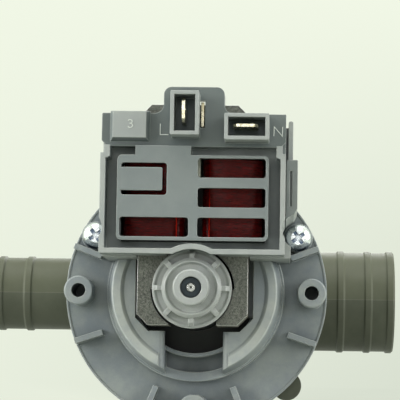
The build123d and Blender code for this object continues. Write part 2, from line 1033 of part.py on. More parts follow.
def chamber_housing():
    outer = chamber_r + chamber_wall
    body = turned(
        (0, 0),
        (flange_r, 0),
        (flange_r, chamber_flange_thick),
        (outer, chamber_flange_thick),
        (outer, chamber_back - edge_break),
        (outer - edge_break, chamber_back),
        (0, chamber_back),
    )
    for angle in round_places(housing_rib_count, 180 / housing_rib_count):
        body += chamber_rib(angle)
    body += chamber_bosses()
    outlet_place = Pos(0, outlet_y, outlet_z)
    tube = beaded_tube(outlet_r, outlet_end, outlet_bead_insets)
    body += outlet_place * mirror(tube, Plane.YZ)
    body -= disc(chamber_r, -overrun, chamber_depth)
    body -= disc(eye_r, 0, chamber_back + overrun)
    bore = extrude(Plane.YZ * Circle(outlet_bore_r), outlet_end + overrun)
    bore -= extrude(Plane.YZ * Circle(outlet_r), chamber_r)
    body -= outlet_place * mirror(bore, Plane.YZ)
    groove = Pos(ring_groove_r, ring_height / 2) * Rectangle(
        ring_width + 2 * slide_gap, ring_height
    )
    body -= revolve(groove, Axis.Y)
    for angle in screw_angles:
        x, z = at_angle(screw_circle_r, angle)
        depth = screw_length - screw_pad_top + press_gap
        body -= disc(screw_shank_r, -overrun, depth, x, z)
    x, z = at_angle(boss_circle_r, boss_angles[-1])
    return body - disc(screw_shank_r + screw_hole_gap, -overrun, chamber_back, x, z)


def inlet_elbow():
    """A closed drum behind the chamber's eye, with the inlet spigot at its side."""
    outer = elbow_inner_r + elbow_wall
    body = turned(
        (0, chamber_back),
        (outer, chamber_back),
        (outer, elbow_back - edge_break),
        (outer - edge_break, elbow_back),
        (0, elbow_back),
    )
    place = Pos(0, inlet_y, inlet_z)
    body += place * beaded_tube(inlet_r, inlet_end, inlet_bead_insets)
    body -= disc(elbow_inner_r, chamber_back - overrun, elbow_back - elbow_wall)
    return body - place * extrude(Plane.YZ * Circle(inlet_bore_r), inlet_end + overrun)


def sector(radius, half_angle):
    """A flat sector along +X, as wide as the angle on both sides."""
    reach = 2 * radius
    edge = reach * tan(radians(half_angle))
    wedge = make_face(Polyline((0, 0), (reach, -edge), (reach, edge), close=True))
    return Circle(radius) & wedge


def drive_dog():
    hub = disc(dog_hub_r, dog_front, dog_back)
    arm_r = hub_inner_r - dog_reach_gap
    hub += prism(sector(arm_r, dog_half_angle), dog_pocket_front, dog_back)
    return hub - prism(dog_bore(), dog_front, dog_back)


def impeller_blade():
    root = hub_r - hub_wall / 2
    tip = hub_front + blade_depth
    outline = make_face(
        Polyline(
            (root, hub_front),
            (blade_r, hub_front),
            (blade_r, tip),
            (hub_r + (blade_r - hub_r) / 3, tip),
            (root, hub_front + blade_depth * blade_root_share),
            close=True,
        )
    )
    return extrude(outline, blade_thick / 2, both=True)


def impeller():
    drum = disc(hub_r, hub_front, hub_back)
    drum += ring(back_disc_r, hub_inner_r, hub_front, hub_front + back_disc_thick)
    drum += disc(bush_r, hub_back, bush_back)
    drum -= disc(hub_inner_r, hub_front, hub_back - hub_floor)
    for angle in round_places(blade_count, 180 / blade_count):
        drum += Rot(0, angle, 0) * impeller_blade()
    lug_inner = dog_hub_r + dog_reach_gap
    lug = sector(hub_inner_r + hub_wall / 2, dog_half_angle) - Circle(lug_inner)
    lug = Rot(0, 0, 180) * lug
    drum += prism(lug, dog_pocket_front, hub_back - hub_floor)
    return drum - disc(shaft_r + shaft_play, hub_front, bush_back + overrun)


def impeller_hub_cap():
    return ring(
        hub_inner_r - press_gap, dog_hub_r + dog_reach_gap, hub_front,
        hub_front + cap_thick,
    )


def impeller_push_ring():
    front = bush_back + axial_play
    return ring(bush_r, shaft_r, front, front + push_ring_thick)


def cover_outline(inset=0):
    """The front cover seen along Y: its box, shoulders and terminal tower."""
    half = cover_half - inset
    shoulder = cover_shoulder - inset
    tower = tower_half - inset
    box = span(-half, half, cover_bottom + inset, shoulder)
    box = fillet(box.vertices(), edge_break)
    outline = box + span(-tower, tower, shoulder - tower_corner_r, tower_top - inset)
    corners = outline.vertices().filter_by(
        lambda v: abs(abs(v.X) - tower) < edge_break and v.Y > shoulder - edge_break
    )
    high = [v for v in corners if v.Y > shoulder + edge_break]
    outline = fillet(high, tower_corner_r)
    low = outline.vertices().filter_by(
        lambda v: abs(abs(v.X) - tower) < edge_break
        and abs(v.Y - shoulder) < edge_break
    )
    return fillet(low, tower_fillet_r)


def windows():
    """The vents in the panel: three on the right and one at the lower left."""
    cuts = Sketch()
    for row in range(window_rows):
        low = window_low + row * window_step
        cuts += span(
            window_near, window_far, low, low + window_height, window_corner_r
        )
    return cuts + span(
        -window_far, window_left_near, window_low, window_low + window_height,
        window_corner_r,
    )


def tongue_slot():
    outer = span(
        tongue_root, tongue_tip, tongue_low, tongue_high, window_corner_r
    )
    inner = span(
        tongue_root - overrun,
        tongue_tip - slot_width,
        tongue_low + slot_width,
        tongue_high - slot_width,
        window_corner_r / 2,
    )
    return outer - inner


def shroud(left, right, low, high):
    outer = span(left, right, low, high, edge_break)
    inner = span(
        left + shroud_wall, right - shroud_wall, low + shroud_wall, high - shroud_wall
    )
    return prism(outer - inner, -shroud_front, plate_face)


def number_block():
    base = span(block_left, block_right, block_low, block_high)
    top = span(
        block_left + block_slope,
        block_right - block_slope,
        block_low + block_slope,
        block_high - edge_break,
    )
    near = plate_face - block_rise
    faces = [Plane.XZ.offset(-plate_face) * base, Plane.XZ.offset(-near) * top]
    body = loft(Sketch() + faces)
    return body + prism(base, plate_face, plate_face + plate_thick)


def cover_panel():
    outline = span(-panel_half, panel_half, panel_bottom, panel_top, panel_corner_r)
    outline += span(bridge_left, bridge_right, panel_top - panel_corner_r, plate_bottom)
    body = prism(outline, panel_face, panel_face + panel_thick)
    side = block(
        coil_side,
        panel_half,
        panel_bottom + panel_corner_r,
        panel_top - panel_corner_r,
        panel_face + panel_thick / 2,
        tray_back,
    )
    body += both_sides(side)
    body += block(
        bridge_left, bridge_right, plate_bottom - panel_thick, plate_bottom,
        panel_face, tray_back,
    )
    cut_back = panel_face + panel_thick + overrun
    body -= prism(windows(), panel_face - overrun, cut_back)
    return body - prism(tongue_slot(), panel_face - overrun, cut_back)


def front_cover():
    low = span(-cover_half, cover_half, cover_bottom, plate_bottom, edge_break)
    tray = prism(low, -rim_front, tray_back)
    inner_half = cover_half - tray_side
    sill = cover_bottom + tray_sill
    tray -= block(
        -inner_half, inner_half, sill, plate_bottom + overrun, -rim_front - overrun,
        tray_back - tray_floor,
    )
    arch = ring(arch_r + arch_rise, arch_r, -rim_front, tray_back)
    arch &= block(
        -arch_r, arch_r, cover_bottom, sill + arch_rise, -rim_front, tray_back
    )
    body = tray - disc(arch_r, -rim_front - overrun, tray_back + overrun) + arch
    body -= disc(fan_disc_r + running_gap + part_gap, drum_front, tray_back + overrun)
    upper = cover_outline() & span(
        -cover_half, cover_half, plate_bottom, tower_top
    )
    hollow = cover_outline(tray_side) & span(
        -cover_half, cover_half, plate_bottom + tray_side, tower_top
    )
    body += prism(upper, plate_face, tray_back)
    body -= prism(hollow, plate_face + plate_thick, tray_back + overrun)
    body -= block(
        -coil_side, coil_side, coil_bottom - bobbin_flange - slide_gap,
        coil_top + bobbin_flange + slide_gap, tray_back - tray_floor - overrun,
        tray_back + overrun,
    )
    body += cover_panel()
    body += number_block()
    body += shroud(live_left, live_right, live_low, live_high)
    body += shroud(neutral_left, neutral_right, neutral_low, neutral_high)
    for outline in terminal_sections():
        body -= prism(outline, plate_face - overrun, plate_face + plate_thick + overrun)
    body += both_sides(prism(notch_jog(), -rim_front, tray_back))
    left = mirror(edge_notch(), Plane.YZ)
    body -= prism(left, -rim_front - overrun, tray_back + overrun)
    body -= prism(edge_notch(), -rim_front - overrun, notch_reach - rim_front)
    return body - screw_scallops()


def edge_notch():
    """A shallow step in the right side edge, where the cover's halves lock."""
    far = cover_half + overrun
    near = cover_half - notch_depth
    return make_face(
        Polyline(
            (near, notch_low),
            (far, notch_low),
            (far, notch_high + overrun),
            (near, notch_high - notch_depth),
            close=True,
        )
    )


def notch_jog():
    """The tray's wall goes round the notch on its inside."""
    near = cover_half - notch_depth - jog_wall
    wall = cover_half - tray_side / 2
    low = notch_low - jog_drop
    return make_face(
        Polyline(
            (near, plate_bottom),
            (near, low),
            (wall, low - jog_slope),
            (wall, notch_low - jog_drop / 2),
            (cover_half - notch_depth, notch_low - jog_drop / 2),
            (cover_half - notch_depth, plate_bottom),
            close=True,
        )
    )


def live_section(margin=0):
    half = blade_metal / 2 + margin
    return span(
        live_blade_x - half, live_blade_x + half, live_blade_low - margin,
        live_blade_low + blade_width + margin,
    )


def neutral_section(margin=0):
    half = blade_metal / 2 + margin
    return span(
        neutral_blade_x - margin, neutral_blade_x + blade_width + margin,
        neutral_blade_z - half, neutral_blade_z + half,
    )


def strip_section(margin=0):
    half = blade_metal / 2 + margin
    return span(strip_x - half, strip_x + half, strip_low - margin, strip_high + margin)


def terminal_sections():
    return live_section(), neutral_section(), strip_section(slot_margin)


def blade(outline):
    """A flat blade with its leading edges eased."""
    body = prism(outline, -blade_front, -blade_back)
    tips = body.faces().sort_by(Axis.Y)[0].edges().sort_by(SortBy.LENGTH)[:2]
    return chamfer(tips, blade_chamfer)


def live_terminal():
    return blade(live_section())


def neutral_terminal():
    return blade(neutral_section())


def cutout_terminal():
    return prism(strip_section(), -strip_front, -blade_back)


def thermal_cutout():
    body = block(
        -cutout_width / 2, cutout_width / 2, cutout_low, cutout_high,
        -cutout_front, -cutout_back,
    )
    return fillet(body.edges().filter_by(Axis.Z), edge_break)


def rear_cover():
    half = cover_half
    outer = span(-half, half, rear_bottom, cover_shoulder, edge_break)
    inner = span(
        rear_wall - half, half - rear_wall, rear_bottom + rear_wall,
        cover_shoulder - rear_wall,
    )
    body = prism(outer, -rear_front, -rear_back)
    body -= prism(inner, -rear_front - overrun, -rear_back - rear_wall)
    legs = both_sides(
        span(leg_inner - rear_cut_gap, leg_outer + rear_cut_gap, 0, coil_bottom)
    )
    yoke_half = leg_outer + rear_cut_gap
    legs += span(-yoke_half, yoke_half, yoke_underside, tower_top)
    body -= prism(legs, -rear_front - overrun, core_back + rear_cut_gap)
    inner_r = can_outer_r + rear_cut_gap
    body -= disc(inner_r, -rear_front - overrun, overrun)
    reach = leg_inner - rear_cut_gap
    arch = ring(inner_r + rear_wall, inner_r, -rear_front, -rear_back)
    body += arch & block(
        -reach, reach, 0, coil_bottom - bobbin_flange - slide_gap, -rear_front,
        -rear_back,
    )
    near_x = half + part_gap
    rail_x = half + rail_gap
    rail = block(
        half - rear_wall, rail_x + rail_width, rail_low, rail_high - rear_wall,
        -rear_front, -rear_back,
    )
    rail += block(
        rail_x, rail_x + rail_width, rail_low, rail_high, -rail_front, -rear_back,
        rail_corner_r,
    )
    foot = block(
        half - rear_wall, near_x + foot_width, rear_bottom, rear_bottom + foot_height,
        -rear_front, -rear_back, edge_break,
    )
    return body + rail + foot + rear_clip() - screw_scallops()


def screw_scallops():
    """Shallow hollows in the covers' sides, which leave room round the screws."""
    return Part() + [
        disc(
            screw_head_r + screw_clearance, -rim_front - overrun, 0,
            *at_angle(screw_circle_r, angle),
        )
        for angle in screw_angles
    ]


def rear_clip():
    """The snap arm on the right, which holds the two covers together."""
    near_x = cover_half + part_gap
    far_x = near_x + clip_width
    outline = make_face(
        Polyline(
            (near_x, clip_high),
            (far_x, clip_high),
            (far_x, clip_low),
            (far_x - clip_taper, clip_low - clip_foot),
            (near_x, clip_low - clip_foot),
            close=True,
        )
    )
    outline = fillet(outline.vertices().sort_by(Axis.Y)[-2:], edge_break)
    body = prism(outline, -clip_front, -rear_back)
    body += block(
        cover_half - rear_wall, far_x, clip_low, clip_high, -rear_front, -rear_back
    )
    slot = block(
        near_x + clip_arm, near_x + clip_arm + clip_slot_width,
        clip_low + clip_slot_low, clip_high - clip_slot_top,
        -clip_front - overrun, clip_slot_depth - clip_front,
    )
    return body - slot


def lead(radius, *points):
    """A round wire along straight runs with tangent bends."""
    path = FilletPolyline(*points, radius=lead_bend_r)
    section = Plane(origin=path @ 0, z_dir=path % 0) * Circle(radius)
    return sweep(section, path=path)


def straight_wire(radius, x0, x1, y, z):
    return Pos(x0, y, z) * extrude(Plane.YZ * Circle(radius), x1 - x0)


def coil_link_wire():
    """Joins the two coils' first turns behind the legs."""
    y = coil_centre_y + coil_half_y - wire_d / 2
    z = coil_bottom + wire_d
    return straight_wire(wire_d / 2, -leg_centre, leg_centre, y, z)


def coil_lead_start(side):
    y = coil_centre_y + coil_half_y - wire_d / 2
    z = coil_top - wire_d
    return (side * leg_centre, y, z), (side * lead_side_x, y, z)


def neutral_lead():
    """From the right coil's last turn round to the edge of the neutral blade."""
    start, corner = coil_lead_start(1)
    y = -blade_back - lead_behind
    z = neutral_blade_z
    return lead(
        wire_d / 2,
        start,
        corner,
        (lead_side_x, corner[1], z),
        (lead_side_x, y, z),
        (neutral_blade_x + blade_width, y, z),
    )


def left_coil_lead():
    """From the left coil's last turn over its back to the thermal cutout."""
    start, corner = coil_lead_start(-1)
    y = -(cutout_back + cutout_width / 2)
    return lead(
        wire_d / 2,
        start,
        corner,
        (-lead_side_x, corner[1], lead_cross_z),
        (0, corner[1], lead_cross_z),
        (0, y, lead_cross_z),
        (0, y, cutout_high),
    )


def cutout_lead():
    """From the thermal cutout up in front of the yoke to its terminal strip."""
    inner_y = core_front + cutout_width / 2
    front_y = -blade_back - cutout_lead_r
    turn_z = yoke_underside - running_gap - cutout_lead_r
    return lead(
        cutout_lead_r,
        (0, inner_y, cutout_high),
        (0, inner_y, turn_z),
        (0, front_y, turn_z),
        (0, front_y, lead_strip_z),
        (strip_x - blade_metal / 2, front_y, lead_strip_z),
    )


def live_lead():
    """The short link from the terminal strip to the live blade."""
    return straight_wire(
        cutout_lead_r,
        live_blade_x + blade_metal / 2,
        strip_x - blade_metal / 2,
        -blade_back - cutout_lead_r,
        link_strip_z,
    )


def write(name, shape):
    export_step(Pos(0, boss_top, 0) * shape, f"parts/{name}.step")


def main():
    os.makedirs("parts", exist_ok=True)
    write("chamber_housing", chamber_housing())
    write("inlet_elbow", inlet_elbow())
    write("chamber_seal_ring", chamber_ring())
    write("pump_bracket", pump_bracket())
    write("rotor_housing", rotor_housing())
    write("seal_carrier", seal_carrier())
    write("shaft_seal", shaft_seal())
    write("front_bearing", bearing(front_bearing_front, front_bearing_length))
    write("rear_bearing", bearing(can_end + bearing_lip, rear_bearing_length))
    write("front_thrust_washer", thrust_washer(carrier_back + axial_play))
    write("rear_thrust_washer", thrust_washer(rear_bearing_back + axial_play))
    write("rotor_shaft", rotor_shaft())
    write("rotor_magnet", rotor_magnet())
    write("magnet_carrier", magnet_carrier())
    write("cooling_fan", cooling_fan())
    write("fan_push_ring", fan_push_ring())
    write("drive_dog", drive_dog())
    write("impeller", impeller())
    write("impeller_hub_cap", impeller_hub_cap())
    write("impeller_push_ring", impeller_push_ring())
    write("core_left_leg", core_leg(-1))
    write("core_right_leg", core_leg(1))
    write("core_yoke", core_yoke())
    for side, word in ((-1, "left"), (1, "right")):
        write(f"{word}_bobbin", bobbin(side))
        write(f"{word}_winding_core", winding_core(side))
        write(f"{word}_winding_turns", winding_turns(side))
    write("front_cover", front_cover())
    write("rear_cover", rear_cover())
    write("live_terminal", live_terminal())
    write("neutral_terminal", neutral_terminal())
    write("cutout_terminal", cutout_terminal())
    write("thermal_cutout", thermal_cutout())
    write("coil_link_wire", coil_link_wire())
    write("left_coil_lead", left_coil_lead())
    write("neutral_lead", neutral_lead())
    write("cutout_lead", cutout_lead())
    write("live_lead", live_lead())
    write("bracket_screws", bracket_screws())
    write("chamber_screw", chamber_screw())
    print("least gap between turns", round(least_turn_gap(), 3))


main()
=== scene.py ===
import json
import math
import random

import bmesh
import bpy
from mathutils import Matrix, Vector


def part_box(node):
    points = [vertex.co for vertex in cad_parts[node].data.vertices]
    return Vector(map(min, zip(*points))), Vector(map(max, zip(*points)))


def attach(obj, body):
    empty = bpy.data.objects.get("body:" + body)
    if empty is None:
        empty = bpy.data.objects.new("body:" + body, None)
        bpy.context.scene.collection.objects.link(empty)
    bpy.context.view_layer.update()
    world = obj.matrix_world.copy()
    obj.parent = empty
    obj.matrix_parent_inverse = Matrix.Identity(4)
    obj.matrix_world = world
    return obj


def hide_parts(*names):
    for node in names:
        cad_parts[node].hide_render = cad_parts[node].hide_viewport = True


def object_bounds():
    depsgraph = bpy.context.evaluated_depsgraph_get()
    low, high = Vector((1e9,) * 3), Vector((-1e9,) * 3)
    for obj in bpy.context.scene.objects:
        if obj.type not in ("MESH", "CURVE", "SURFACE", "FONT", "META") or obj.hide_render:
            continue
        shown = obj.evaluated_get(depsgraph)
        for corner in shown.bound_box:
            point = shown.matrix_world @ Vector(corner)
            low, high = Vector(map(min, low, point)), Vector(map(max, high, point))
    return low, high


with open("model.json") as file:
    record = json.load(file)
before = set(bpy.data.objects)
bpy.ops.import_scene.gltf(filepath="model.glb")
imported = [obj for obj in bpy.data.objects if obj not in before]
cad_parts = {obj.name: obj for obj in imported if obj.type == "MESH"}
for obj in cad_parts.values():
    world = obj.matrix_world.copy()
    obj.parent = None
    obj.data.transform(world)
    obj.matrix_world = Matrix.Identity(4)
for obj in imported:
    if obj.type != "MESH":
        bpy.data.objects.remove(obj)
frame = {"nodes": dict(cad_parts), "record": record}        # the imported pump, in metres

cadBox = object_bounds()
mm = 0.001
body = "pump_body"       # what stands still; the rotor and the impeller ride on their own bodies


def srgb(code):          # "#rrggbb" to the linear colour that Blender's sockets take
    parts = [int(code[i:i + 2], 16) / 255 for i in (1, 3, 5)]
    return tuple(p / 12.92 if p <= 0.04045 else ((p + 0.055) / 1.055) ** 2.4 for p in parts) + (1.0,)


class Signal:            # one socket of a node tree: a sum written on it adds its Math node
    def __init__(self, tree, socket=None):
        self.tree = tree
        self.socket = socket

    def node(self, kind, settings=None, inputs=None, output=0):
        made = self.tree.nodes.new("ShaderNode" + kind)
        for key, value in (settings or {}).items():
            setattr(made, key, value)
        for key, value in (inputs or {}).items():
            if isinstance(value, Signal):
                self.tree.links.new(value.socket, made.inputs[key])
            else:
                made.inputs[key].default_value = value
        return Signal(self.tree, made.outputs[output] if len(made.outputs) else None)

    def math(self, operation, *terms):
        return self.node("Math", {"operation": operation}, dict(enumerate(terms)))

    def __add__(self, other):
        return self.math("ADD", self, other)

    def __radd__(self, other):
        return self.math("ADD", other, self)

    def __sub__(self, other):
        return self.math("SUBTRACT", self, other)

    def __rsub__(self, other):
        return self.math("SUBTRACT", other, self)

    def __mul__(self, other):
        return self.math("MULTIPLY", self, other)

    def __rmul__(self, other):
        return self.math("MULTIPLY", other, self)

    def __truediv__(self, other):
        return self.math("DIVIDE", self, other)

    def __abs__(self):
        return self.math("ABSOLUTE", self)

    def wave(self):
        return self.math("SINE", self)

    def step(self, low, high):           # 0 below low, 1 above high, smooth between
        return self.node("MapRange", {"interpolation_type": "SMOOTHSTEP"}, {0: self, 1: low, 2: high})

    def limit(self):
        return self.node("Clamp", None, {0: self})

    def mix(self, first, second, blend="MIX"):       # self is the share of the second colour
        settings = {"data_type": "RGBA", "blend_type": blend}
        return self.node("Mix", settings, {0: self, 6: first, 7: second}, 2)

    def noise(self, scale, detail, stretch=None, roughness=0.5):     # self is a place in mm
        spot = self
        if stretch:
            spot = self.node("VectorMath", {"operation": "MULTIPLY"}, {0: self, 1: stretch})
        return self.node("TexNoise", None, {
            "Vector": spot, "Scale": scale, "Detail": detail, "Roughness": roughness})

    def part(self, axis):
        return self.node("SeparateXYZ", None, {0: self}, axis)


def newMaterial(name):       # with a start for its nodes, and the place on the piece in mm
    material = bpy.data.materials.new(name)
    material.use_nodes = True
    material.node_tree.nodes.clear()
    start = Signal(material.node_tree)
    spot = start.node("TexCoord", None, None, "Object")
    place = start.node("VectorMath", {"operation": "SCALE"}, {0: spot, "Scale": 1 / mm})
    return material, start, place


edgeFinder = {"samples": 8, "gain": 5.0}


# the normal that an edge broken to this radius has, and a mask of where such edges are
def roundedNormal(start, radius):
    soft = start.node("Bevel", {"samples": edgeFinder["samples"]}, {"Radius": radius * mm})
    flat = start.node("NewGeometry", None, None, "Normal")
    turned = start.node("VectorMath", {"operation": "DOT_PRODUCT"}, {0: soft, 1: flat}, "Value")
    return soft, ((1 - turned) * edgeFinder["gain"]).limit()


def hollowMask(start, look):             # a mask for painted shade in recesses: 0 in the open, 1 where the spot is closed in within the reach
    return 1 - start.node("AmbientOcclusion", {"samples": look["hollowSamples"]},
                          {"Distance": look["hollowReach"] * mm}, "AO")


def relief(start, look, height, soft=None):      # the fine surface, on the rounded normal if there is one
    inputs = {"Strength": look["bump"], "Distance": look["relief"] * mm, "Height": height}
    if soft:
        inputs["Normal"] = soft
    return start.node("Bump", None, inputs)


def finishMaterial(start, shader):
    start.node("OutputMaterial", None, {"Surface": shader})


# finishes: each is made once, and every piece of a slot wears it
def mouldedPlastic(name, look):
    material, start, place = newMaterial(name)
    soft, edge = roundedNormal(start, look["edgeRadius"])
    cloud = place.noise(look["cloudScale"], 3.0)
    flow = place.noise(look["flowScale"], 4.0, look["flow"], 0.6)
    grain = place.noise(look["grainScale"], 3.0, None, 0.7)
    fleck = place.noise(look["fleckScale"], 2.0, None, 0.8).step(*look["fleckSpan"])
    hollow = hollowMask(start, look)
    colour = ((cloud * 0.6 + flow * 0.4).step(*look["cloudSpan"]) * look["cloud"]).mix(
        look["colour"], look["shade"])
    if "inset" in look:                  # painted shade: faces that lie further back, in mm along Y, are darkened as if shaded
        near, far, end = look["inset"]
        depth = place.part("Y")
        depthShade = depth.step(*look["deep"]).mix(look["insetVeil"], look["deepRecessShade"])
        inset = depth.step(near, far) * (1 - depth.step(far + 2, end))
        colour = inset.mix(colour, depthShade, "MULTIPLY")
    if "seam" in look:                   # two mould halves meet at this height, in mm; the upper half is painted lighter as if lit from above, and a painted highlight line runs along the seam
        height = place.part("Z") - look["seam"]
        colour = (height.step(-look["seamBlend"], look["seamBlend"]) * look["upperTint"]).mix(
            colour, look["upper"])
        colour = ((1 - abs(height).step(*look["seamWidth"])) * look["seamHighlight"]).mix(
            colour, look["highlightAndFleckColour"])
    colour = (fleck * look["fleck"]).mix(colour, look["highlightAndFleckColour"])
    colour = (grain.step(*look["grainSpan"]) * look["grain"]).mix(colour, look["shade"])
    # painted shade: recesses are darkened toward the shade colour
    colour = (hollow.step(*look["hollowSpan"]) * look["hollow"]).mix(colour, look["hollowColour"])
    # painted highlight: edges are lightened toward the light colour
    colour = (edge * look["edge"]).mix(colour, look["highlightAndFleckColour"])
    rough = look["rough"] + (cloud - 0.5) * look["cloudRough"] + (grain - 0.5) * look["grainRough"]
    rough = rough - edge * look["edgeShine"]
    bump = relief(start, look, grain * 0.5 + flow * 0.8, soft)
    inputs = {"Base Color": colour, "Roughness": rough, "Normal": bump, "Specular IOR Level": look["gloss"]}
    if "glow" in look:                   # light that soaks into natural plastic
        inputs.update({"Subsurface Weight": look["glow"], "Subsurface Scale": look["glowReach"] * mm,
                       "Subsurface Radius": look["glowTint"]})
    finishMaterial(start, start.node("BsdfPrincipled", None, inputs))
    return material


def stampedSteel(name, look):            # sheets lie across Y, so their cut edges show on every other side
    material, start, place = newMaterial(name)
    soft, edge = roundedNormal(start, look["edgeRadius"])
    facing = abs(start.node("NewGeometry", None, None, "True Normal").part("Y")).step(*look["facingSpan"])
    grain = place.noise(look["grainScale"], 4.0, None, 0.8)
    pepper = place.noise(look["pepperScale"], 2.0, None, 0.8)
    cloud = place.noise(look["cloudScale"], 3.0)
    sheet = (2 * math.pi / look["sheet"] * place.part("Y")).wave()
    gap = (sheet + (place.noise(look["waverScale"], 2.0) - 0.5) * look["waver"]).step(*look["gapSpan"])
    face = (grain * 0.6 + pepper * 0.4).step(*look["grainSpan"]).mix(look["dark"], look["light"])
    face = (cloud.step(0.4, 0.7) * look["oxideShare"]).mix(face, look["oxide"])
    cut = (gap * look["gapShare"]).mix(look["cut"], look["dark"])
    cut = (pepper.step(0.5, 0.8) * look["rustShare"]).mix(cut, look["rust"])
    colour = facing.mix(cut, face)
    # painted highlight: the edges of the sheets' faces are lightened toward white
    colour = (edge * facing * look["edge"]).mix(colour, look["bright"])
    metal = look["metal"] + edge * look["edgeMetal"] + (1 - facing) * look["cutMetal"]
    rough = look["rough"] + (grain - 0.5) * look["grainRough"] - edge * look["edgeShine"]
    height = facing * (grain * 0.7 + pepper * 0.4) + (1 - facing) * (1 - gap) * look["gapDepth"]
    bump = relief(start, look, height, soft)
    finishMaterial(start, start.node("BsdfPrincipled", None, {
        "Base Color": colour, "Metallic": metal.limit(), "Roughness": rough, "Normal": bump}))
    return material


def platedMetal(name, look):
    material, start, place = newMaterial(name)
    soft, edge = roundedNormal(start, look["edgeRadius"])
    cloud = place.noise(look["cloudScale"], 3.0)
    brush = place.noise(look["brushScale"], 3.0, look["brush"], 0.6)
    stain = place.noise(look["stainScale"], 4.0, None, 0.65).step(*look["stainSpan"])
    hollow = hollowMask(start, look)
    colour = (cloud.step(*look["cloudSpan"]) * look["cloud"]).mix(look["colour"], look["tint"])
    colour = (stain * look["stain"]).mix(colour, look["stainColour"])
    # painted shade: recesses are darkened toward the shade colour
    colour = (hollow.step(*look["hollowSpan"]) * look["hollow"]).mix(colour, look["hollowColour"])
    # painted highlight: edges are lightened toward the bright colour
    colour = (edge * look["edge"]).mix(colour, look["bright"])
    rough = look["rough"] + (brush - 0.5) * look["brushRough"] + stain * look["stainRough"]
    bump = relief(start, look, brush + cloud * 0.5, soft)
    finishMaterial(start, start.node("BsdfPrincipled", None, {
        "Base Color": colour, "Metallic": look["metal"], "Roughness": rough, "Normal": bump}))
    return material


def enamelledWire(name, look):
    material, start, place = newMaterial(name)
    streak = place.noise(look["streakScale"], 3.0, look["streak"], 0.7)
    cloud = place.noise(look["cloudScale"], 2.0)
    colour = streak.step(*look["streakSpan"]).mix(look["dark"], look["light"])
    colour = (cloud.step(*look["cloudSpan"]) * look["cloud"]).mix(colour, look["varnish"])
    waver = (place.noise(look["streakScale"], 2.0, (0.0, 0.0, 1.0), 0.7) - 0.5) * look["waver"]
    off = abs(abs(place.part("X")) + waver - look["paintedGlintLine"])     # a painted glint: a bright red line painted along the coils' inner corners, where a lamp's reflection would be
    below = 1 - place.part("Z").step(*look["paintedGlintFade"]) * 0.8
    paintedGlintLine = (1 - off.step(*look["paintedGlintWidth"])) * below
    colour = paintedGlintLine.mix(colour, look["paintedGlintColour"])
    rough = look["rough"] + (streak - 0.5) * look["streakRough"]
    finishMaterial(start, start.node("BsdfPrincipled", None, {
        "Base Color": colour, "Metallic": look["metal"], "Roughness": rough,
        "Normal": relief(start, look, streak), "Specular IOR Level": look["gloss"],
        "Coat Weight": look["coat"], "Coat Roughness": look["coatRough"], "Coat Tint": look["glint"]}))
    return material


def softRubber(name, look):
    material, start, place = newMaterial(name)
    soft, edge = roundedNormal(start, look["edgeRadius"])
    bloom = place.noise(look["bloomScale"], 4.0).step(*look["bloomSpan"])
    grain = place.noise(look["grainScale"], 2.0)
    colour = (bloom * 0.5).mix(look["colour"], look["bloom"])
    colour = (edge * look["edge"]).mix(colour, look["bloom"])
    rough = look["rough"] + (grain - 0.5) * look["grainRough"]
    finishMaterial(start, start.node("BsdfPrincipled", None, {
        "Base Color": colour, "Roughness": rough, "Normal": relief(start, look, grain, soft)}))
    return material


